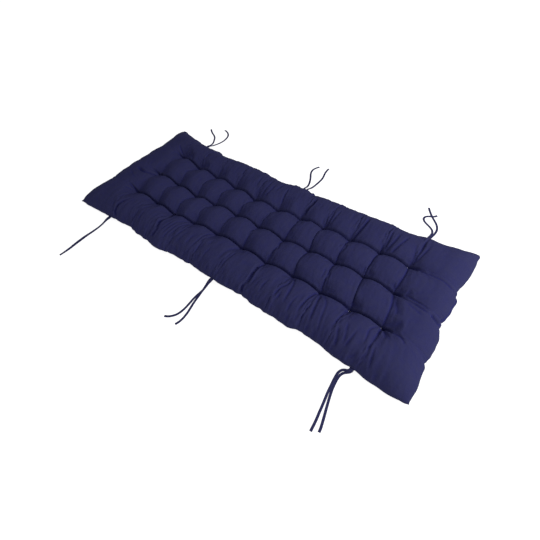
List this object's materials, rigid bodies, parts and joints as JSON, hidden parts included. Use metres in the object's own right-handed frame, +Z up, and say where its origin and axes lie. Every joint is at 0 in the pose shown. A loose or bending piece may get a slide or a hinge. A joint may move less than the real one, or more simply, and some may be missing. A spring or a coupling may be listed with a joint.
{
  "type": "sun lounger cushion",
  "caption": "Long tufted pad for a sun lounger, filled and double sided, with pinched corners and sewn tape ties along both long sides.",
  "frame": {"origin": "centre of the pad's outline, on the plane that its underside rests on", "axes": "+X along the pad towards its right end, +Y across the pad, +Z up out of the tufted face"},
  "size_m": [1.6035, 1.1031, 0.0822],
  "materials": {
    "cushion_fabric": "matte navy plain weave, tufted and sewn in thread of the same colour",
    "tie_fabric": "matte navy folded and stitched tape"
  },
  "bodies": {
    "root": {"cushion": "cushion_fabric", "tie_near_left_a": "tie_fabric", "tie_near_left_b": "tie_fabric", "tie_near_middle_a": "tie_fabric", "tie_near_middle_b": "tie_fabric", "tie_near_right_a": "tie_fabric", "tie_near_right_b": "tie_fabric", "tie_far_left_a": "tie_fabric", "tie_far_left_b": "tie_fabric", "tie_far_middle_a": "tie_fabric", "tie_far_middle_b": "tie_fabric", "tie_far_right_a": "tie_fabric", "tie_far_right_b": "tie_fabric"}
  },
  "joints": []
}
